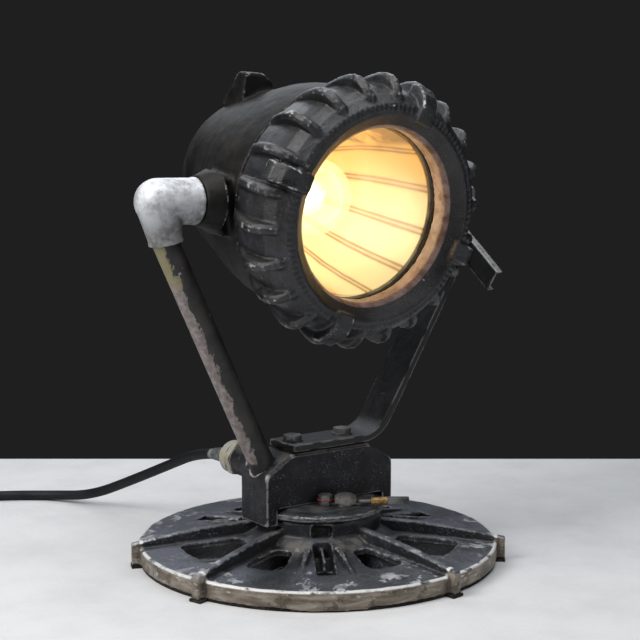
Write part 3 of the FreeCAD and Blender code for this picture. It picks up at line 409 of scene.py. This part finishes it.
place.feed(shader, Base_Color=colour, Roughness=0.38 + place.cloud(90, 3) * 0.25 + silt * 0.2,
           Metallic=chipped * 0.4, Normal=place.dented(speck * 0.8 + chipped * -0.8, 0.0004))
cover(box_iron, "box_skin")


# Pan lock. A slotted steel bolt with a lever, a brass sleeve on the lever and a wire twisted round it in red
# enamel. All are small, dull and a little rusty.

dull_steel, shader, place = finish("dull_steel", Metallic=0.75)
rust = place.cloud(90, 6, 0.7).rise(0.50, 0.66)
colour = place.tint((0.10, 0.055, 0.030), (0.26, 0.255, 0.25, 1), rust * 0.7)
colour = place.tint((0.03, 0.03, 0.032), colour, place.cloud(35, 4).rise(0.40, 0.62) * 0.75)
place.feed(shader, Base_Color=colour, Roughness=0.40 + rust * 0.35,
           Normal=place.dented(place.cloud(420, 4), 0.0002))
cover(dull_steel, "pan_lock_bolt", "pan_lock_lever")
old_brass, shader, place = finish("old_brass", Metallic=0.85)
tarnish = place.cloud(120, 5, 0.65).rise(0.40, 0.68)
place.feed(shader, Base_Color=place.tint((0.13, 0.075, 0.03), (0.62, 0.40, 0.15, 1), tarnish * 0.8),
           Roughness=0.30 + tarnish * 0.3, Normal=place.dented(place.cloud(500, 3), 0.0001))
cover(old_brass, "pan_lock_sleeve")
red_enamel, shader, place = finish("red_enamel", Roughness=0.35, Coat_Weight=0.3)
dull = place.cloud(300, 4).rise(0.4, 0.7)
place.feed(shader, Base_Color=place.tint((0.10, 0.010, 0.008), (0.42, 0.028, 0.018, 1), dull))
cover(red_enamel, "lock_wire")


# Lead-in pipe. A black steel conduit leans from the box to the elbow. Along its upper left the paint has
# flaked away in one ragged strip of pinkish grey metal, and it turns olive just under the elbow.

black_pipe, shader, place = finish("black_pipe", Specular_IOR_Level=0.5)
pipe_start = (-0.0697, 0, 0.107)
ragged = place.stretched(1, 1, 0.45).cloud(150, 6, 0.72)
leftness = place.along((-0.764, 0.537, -0.3585), pipe_start) * 74.9
strip = (leftness + (ragged - 0.5) * 1.9).rise(0.08, 0.14)
far_up = place.along((-0.4247, 0, 0.9053), pipe_start)
strip = strip * (far_up + (ragged - 0.5) * 0.03).rise(0.006, 0.010)
colour = place.tint((0.034, 0.030, 0.027), (0.012, 0.011, 0.011, 1), place.cloud(60, 5).rise(0.35, 0.7))
bare = place.tint((0.30, 0.265, 0.255), (0.185, 0.155, 0.150, 1), place.cloud(160, 5).rise(0.38, 0.65))
bare = place.tint((0.26, 0.23, 0.12), bare, (far_up + (ragged - 0.5) * 0.06).rise(0.205, 0.225) * 0.85)
colour = bare.over(colour, strip)
nicks = place.stretched(1, 1, 0.6).cloud(110, 5, 0.7).rise(0.665, 0.69)
colour = place.tint((0.36, 0.35, 0.34), colour, nicks * 0.9)
place.feed(shader, Base_Color=colour, Roughness=0.34 + ragged * 0.25 + strip * 0.15, Metallic=strip * 0.35,
           Normal=place.dented(ragged * 0.7 + strip * -1.0, 0.0005))
cover(black_pipe, "conduit_arm")


# Elbow and gland. The cast elbow is painted silver and stays bright, with dark specks and a brown stain at
# its lower mouth; painted shade darkens its lower branch and its creases. The gland on the box is cream,
# stained yellow, with a grey sleeve where the cord leaves.

cast_skin("elbow_skin", "conduit_elbow", "pan", 0.0013, 0.0002, 0.0002)
silver_coat, shader, place = finish("silver_coat", Metallic=0.28)
edge, up = place.measured("edge"), place.measured("up")
grime = place.cloud(60, 6, 0.66)
colour = place.tint((0.40, 0.41, 0.43), (0.76, 0.77, 0.80, 1), grime.rise(0.40, 0.66))
# Painted shade: the lower branch is darkened below the elbow's bend.
painted_low_shade = place.along((0, 0, 1), (0, 0, 0.380)).rise(0.004, -0.030)
colour = place.tint((0.16, 0.165, 0.175), colour, painted_low_shade * 0.75)
colour = place.tint((0.09, 0.085, 0.085), colour, place.cloud(240, 4, 0.7).rise(0.66, 0.70) * 0.85)
stain = place.along((-0.4247, 0, 0.9053), (-0.0697, 0, 0.107)).rise(0.285, 0.262) * grime.rise(0.38, 0.58)
colour = place.tint((0.11, 0.095, 0.075), colour, stain * 0.75)
# Painted shade: concave creases darkened.
colour = place.tint((0.16, 0.15, 0.145), colour, edge.rise(-0.06, -0.35) * 0.7)
place.feed(shader, Base_Color=colour, Roughness=0.38 + grime * 0.25,
           Normal=place.dented(grime + place.cloud(500, 3) * 0.5, 0.0004))

cream_coat, shader, place = finish("cream_coat", Specular_IOR_Level=0.4)
stain = place.cloud(75, 6, 0.68)
colour = place.tint((0.34, 0.29, 0.17), (0.36, 0.355, 0.32, 1), stain.rise(0.42, 0.62) * 0.8)
colour = place.tint((0.10, 0.09, 0.075), colour, place.cloud(130, 5, 0.7).rise(0.58, 0.68) * 0.7)
place.feed(shader, Base_Color=colour, Roughness=0.45 + stain * 0.25, Normal=place.dented(stain, 0.0004))
grey_sleeve, shader, place = finish("grey_sleeve", Roughness=0.55)
grime = place.cloud(140, 4).rise(0.35, 0.65)
place.feed(shader, Base_Color=place.tint((0.05, 0.052, 0.056), (0.14, 0.14, 0.145, 1), grime))
cover(silver_coat, "elbow_skin")
cover(cream_coat, "gland_body", "gland_nut")
cover(grey_sleeve, "cord_relief")


# Yoke arm. One flat bar lies on the box and rises to hold the lamp's right side. It is nearly black, with a
# thin bright line along its corners and a few bare patches on the inner face.

black_bar, shader, place = finish("black_bar", Specular_IOR_Level=0.5)
streak = place.stretched(1, 1, 0.4).cloud(90, 5, 0.66)
colour = place.tint((0.012, 0.012, 0.015), (0.004, 0.004, 0.0045, 1), streak.rise(0.36, 0.68))
patches = place.cloud(32, 6, 0.72, 0.5).rise(0.640, 0.650)
corner = place.measured("edge").rise(0.55, 0.9) * place.stretched(1, 1, 0.3).cloud(60, 4).rise(0.42, 0.54)
colour = place.tint((0.26, 0.255, 0.26), colour, patches.larger(corner * 0.75) * 0.9)
place.feed(shader, Base_Color=colour, Roughness=0.34 + streak * 0.25, Metallic=patches * 0.3,
           Normal=place.dented(streak + patches * -0.6, 0.0004))
cast_skin("arm_skin", "arm_bar", "pan", 0.0013, 0.0002, 0.0003)
cover(black_bar, "arm_skin")


# Lamp body. A deep iron bowl with conical hubs, black with a brown, dusty sheen and scraped shoulders.

cast_skin("body_skin", "housing", "head", 0.0019, 0.0004, 0.0006)
lamp_iron, shader, place = finish("lamp_iron", Specular_IOR_Level=0.22)
edge, up = place.measured("edge"), place.measured("up")
blotch = place.cloud(34, 6, 0.66, 0.3)
colour = place.tint((0.016, 0.014, 0.012), (0.004, 0.004, 0.0045, 1), blotch.rise(0.36, 0.66))
silt = up.rise(0.3, 0.9) * place.cloud(60, 5).rise(0.36, 0.62)
colour = place.tint((0.014, 0.011, 0.009), colour, silt * 0.75)
scraped = edge.rise(0.45, 0.85) * place.cloud(120, 5, 0.7).rise(0.50, 0.58)
colour = place.tint((0.34, 0.33, 0.32), colour, scraped)
place.feed(shader, Base_Color=colour, Roughness=0.40 + blotch * 0.22, Metallic=scraped * 0.4,
           Normal=place.dented(place.cloud(420, 4, 0.65) + scraped * -0.5, 0.0004))
cover(lamp_iron, "body_skin")


# Cover ring. The screwed ring has a crown of ribs round it. Rib tops and the raised bars are rubbed to grey
# metal. Upward faces get grey dust mixed with painted sheen, painted shade darkens the creases, and its mouth
# is tinted pinkish grey to amber, partly bare metal and partly a painted glow from the bulb.

cast_skin("ring_skin", "cover_ring", "cover", 0.0013, 0.0003, 0.0007)
ring_iron, shader, place = finish("ring_iron", Specular_IOR_Level=0.55)
edge, up = place.measured("edge"), place.measured("up")
lamp_front = (0, -0.98823, -0.15299)
lamp_up = (0, -0.15299, 0.98823)
ahead = place.along(lamp_front, (0, 0, 0.380))
high = place.along(lamp_up, (0, 0, 0.380))
wide = place.along((1, 0, 0), (0, 0, 0.380))
radius = (wide * wide + high * high) ** 0.5
blotch = place.cloud(40, 6, 0.66, 0.3)
colour = place.tint((0.022, 0.023, 0.027), (0.0045, 0.0045, 0.005, 1), blotch.rise(0.34, 0.66))
# Upward faces lightened grey: dust mixed with painted sheen.
silt = up.rise(0.4, 0.95) * place.cloud(75, 5).rise(0.35, 0.6)
colour = place.tint((0.050, 0.046, 0.042), colour, silt * 0.8)
crest = edge.rise(0.45, 0.9) * place.cloud(130, 5, 0.7).rise(0.47, 0.55) * radius.rise(0.110, 0.116)
crest = crest.larger(radius.rise(0.1365, 0.1385) * place.cloud(110, 6, 0.72).rise(0.545, 0.57))
crest = crest.larger(place.cloud(90, 6, 0.74).rise(0.665, 0.68))
speck = place.cloud(560, 3, 0.7).rise(0.60, 0.68) * place.cloud(50, 4).rise(0.42, 0.62)
colour = place.tint((0.20, 0.20, 0.205), colour, speck * 0.8)
colour = place.tint((0.50, 0.495, 0.49), colour, crest)
# The mouth: pinkish bare metal with a painted amber glow from the bulb.
mouth = radius.rise(0.0912, 0.0902)
mouth_metal_and_glow = place.tint((0.34, 0.25, 0.24), (0.16, 0.085, 0.06, 1), place.cloud(80, 5).rise(0.35, 0.65))
colour = mouth_metal_and_glow.over(colour, mouth * 0.9)
# Painted shade: concave creases darkened nearly to black.
colour = place.tint((0.006, 0.006, 0.007), colour, edge.rise(-0.08, -0.42) * 0.65)
place.feed(shader, Base_Color=colour, Roughness=0.24 + blotch * 0.26, Metallic=crest * 0.45,
           Normal=place.dented(place.cloud(430, 4, 0.65) * 1.2 + crest * -0.6, 0.0006))
cover(ring_iron, "ring_skin")


# Tilt lock. A forged lever on the lamp's left hub clamps it to the arm; black, rubbed at its edges, with its
# upward faces lightened grey as a painted highlight.

cast_skin("lever_skin", "tilt_lock_lever", "tilt_lock", 0.0011, 0.0002, 0.0003)
worn_lever, shader, place = finish("worn_lever", Specular_IOR_Level=0.5)
edge, up = place.measured("edge"), place.measured("up")
grain = place.cloud(120, 5, 0.68)
colour = place.tint((0.022, 0.022, 0.024), (0.006, 0.006, 0.0065, 1), grain.rise(0.36, 0.68))
# Upward faces lightened to grey metal as a painted highlight; the edge part is real wear.
bare = (up.rise(0.15, 0.7) * grain.rise(0.30, 0.52)).larger(edge.rise(0.5, 0.9) * grain.rise(0.40, 0.5) * 0.7)
colour = place.tint((0.40, 0.40, 0.39), colour, bare * 0.9)
place.feed(shader, Base_Color=colour, Roughness=0.36 + grain * 0.25, Metallic=bare * 0.4,
           Normal=place.dented(grain, 0.0003))
cover(worn_lever, "lever_skin")


# Reflector. The bowl behind the glass is enamelled cream; the bulb's light on it is painted in as a glow,
# from gold at the top to cream lower down. Dark seams divide it into petals, each with a band of painted
# shade on one side, a low facet on the left is painted shade, and a scorched smudge sits near the top.

enamel_painted_glow, shader, place = finish("enamel_painted_glow", Roughness=0.35)
wide = place.along((1, 0, 0), (0, 0, 0.380))
high = place.along(lamp_up, (0, 0, 0.380))
depth = place.along(lamp_front, (0, 0, 0.380))
turn = place.maths("ARCTAN2", high, wide) * 57.29578
near_seam = place.maths("PINGPONG", turn + 706, 15.0)
wobble = (place.cloud(30, 4) - 0.5) * 1.6
pair = place.maths("ABSOLUTE", near_seam - 1.9, 0.0) + wobble
# Seams: a dark joint line, plus a band of painted shade on one side.
seam_line_and_shade = (pair.rise(1.4, 0.4) * 0.6 + (near_seam + wobble * 2).rise(6.0, 0.5) * 0.35).smaller(0.85)
tone = place.cloud(22, 5, 0.6)
# Painted glow: the bulb's light on the bowl is painted as emission, gold at the top to cream lower down.
painted_glow_colour = place.tint((0.96, 0.76, 0.35), (0.86, 0.44, 0.085, 1), high.rise(0.065, -0.050))
painted_glow_colour = place.tint((0.98, 0.80, 0.45), painted_glow_colour, tone.rise(0.5, 0.75) * 0.4)
painted_glow_colour = place.tint((0.30, 0.125, 0.02), painted_glow_colour, seam_line_and_shade)
# Painted shade on a low facet of the bowl.
painted_wedge_shade = high.rise(-0.030, -0.052) * wide.rise(0.005, -0.030)
painted_glow_colour = place.tint((0.85, 0.38, 0.06), painted_glow_colour, painted_wedge_shade * 0.75)
smudge = place.maths("ABSOLUTE", wide - 0.037, 0.0).rise(0.022, 0.010)
smudge = smudge * high.rise(0.052, 0.060) * tone.rise(0.36, 0.52)
painted_glow_colour = place.tint((0.20, 0.085, 0.02), painted_glow_colour, smudge * 0.85)
place.feed(shader, Base_Color=place.tint((0, 0, 0), painted_glow_colour, 0.75), Emission_Color=painted_glow_colour,
           Normal=place.dented(tone, 0.0004))
shader.inputs["Emission Strength"].default_value = 0.78
cover(enamel_painted_glow, "reflector")


# Lamp glass and bulb. The front glass and the bulb are clear. The filament burns in the bulb's middle, in a
# painted glare of nested glowing shells that thins outwards, and a small light there falls on the bowl and
# the ring's mouth.

clear_glass, shader, place = finish("clear_glass", Roughness=0.04, Specular_IOR_Level=0.5, Alpha=0.08)
film = place.cloud(25, 4).rise(0.4, 0.7)
place.feed(shader, Base_Color=place.tint((0.9, 0.82, 0.6), (0.95, 0.95, 0.93, 1), film))
cover(clear_glass, "lens_glass")
bulb_clear, shader, place = finish("bulb_clear", Roughness=0.05, Specular_IOR_Level=0.6, Alpha=0.10)
glow = place.tint((1.0, 0.72, 0.30), (1.0, 0.80, 0.42, 1), place.cloud(40, 3).rise(0.4, 0.6))
place.feed(shader, Base_Color=glow, Emission_Color=glow)
shader.inputs["Emission Strength"].default_value = 1.3
cover(bulb_clear, "bulb_glass")
hot_wire, shader, place = finish("hot_wire", Roughness=0.4)
flicker = place.cloud(400, 2).rise(0.4, 0.6)
place.feed(shader, Base_Color=place.tint((1.0, 0.8, 0.5), (1.0, 0.9, 0.7, 1), flicker),
           Emission_Color=place.tint((1.0, 0.85, 0.55), (1.0, 0.92, 0.72, 1), flicker))
shader.inputs["Emission Strength"].default_value = 30.0
cover(hot_wire, "bulb_filament")
bulb_light = bpy.data.lights.new("bulb_light", "POINT")
bulb_light.energy = 1.0
bulb_light.color = (1.0, 0.80, 0.52)
bulb_light.shadow_soft_size = 0.03
bulb_lamp = bpy.data.objects.new("bulb_light", bulb_light)
bpy.context.scene.collection.objects.link(bulb_lamp)
centre = sum((Vector(c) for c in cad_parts["bulb_glass"].bound_box), Vector()) / 8
bulb_lamp.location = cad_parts["bulb_glass"].matrix_world @ centre
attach(bulb_lamp, "head")
# Painted glare: five see-through glowing shells round the filament.
halo_rows, halo_turns = 16, 24
halo_layers = ((0.0075, 0.9), (0.0105, 0.42), (0.0135, 0.3), (0.0165, 0.2), (0.020, 0.13))
for layer, (size, veil) in enumerate(halo_layers):
    halo, shader, place = finish(f"halo_{layer + 1}", Roughness=0.5, Alpha=veil)
    glow = place.tint((1.0, 0.86, 0.55), (1.0, 0.93, 0.74, 1), place.cloud(60, 2).rise(0.3, 0.7))
    place.feed(shader, Base_Color=glow, Emission_Color=glow)
    shader.inputs["Emission Strength"].default_value = 1.6
    points, faces = [], []
    for row in range(halo_rows + 1):
        down = math.pi * row / halo_rows
        for turn in range(halo_turns):
            round_it = 2 * math.pi * turn / halo_turns
            wide = math.sin(down)
            way = Vector((wide * math.cos(round_it), wide * math.sin(round_it), math.cos(down)))
            points.append(way * size + bulb_lamp.location)
            if row < halo_rows:
                corner, beside = row * halo_turns + turn, row * halo_turns + (turn + 1) % halo_turns
                faces.append((corner, corner + halo_turns, beside + halo_turns, beside))
    ball = bpy.data.meshes.new(f"halo_{layer + 1}")
    ball.from_pydata(points, [], faces)
    ball.shade_smooth()
    piece = bpy.data.objects.new(f"halo_{layer + 1}", ball)
    bpy.context.scene.collection.objects.link(piece)
    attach(piece, "head")
    cover(halo, piece.name)


# Small fittings inside and behind. White porcelain, plain wire insulation, brass contacts, moulded black plug
# parts and dull steel screws; each has a little dirt on it.

porcelain, shader, place = finish("porcelain", Roughness=0.2, Coat_Weight=0.4)
stain = place.cloud(60, 5).rise(0.5, 0.75)
place.feed(shader, Base_Color=place.tint((0.45, 0.40, 0.32), (0.78, 0.76, 0.70, 1), stain))
wire_coat, shader, place = finish("wire_coat", Roughness=0.6)
stain = place.cloud(120, 4).rise(0.4, 0.7)
place.feed(shader, Base_Color=place.tint((0.35, 0.31, 0.24), (0.62, 0.58, 0.50, 1), stain))
plug_black, shader, place = finish("plug_black", Specular_IOR_Level=0.5)
dust = place.cloud(70, 5).rise(0.45, 0.7)
place.feed(shader, Base_Color=place.tint((0.05, 0.05, 0.052), (0.012, 0.012, 0.013, 1), dust),
           Roughness=0.38 + place.cloud(150, 4) * 0.25, Normal=place.dented(place.cloud(600, 3), 0.0001))
cover(porcelain, "socket_body", "bulb_stem")
cover(wire_coat, "arm_wires", "head_wires")
cover(plug_black, "plug_body", "terminal_block")
cover(old_brass, "plug_blades", "socket_contact", "socket_shell", "terminal_screws", "bulb_cap",
      "thrust_washer", "trunnion_washer")
cover(dull_steel, "reflector_clips", "arm_bolts", "arm_washers", "flange_screws", "lens_retainer",
      "lever_nut", "socket_bracket", "socket_screws", "swivel_nut", "swivel_stud", "swivel_washer",
      "trunnion_bolt", "trunnion_nipple", "trunnion_spacer")
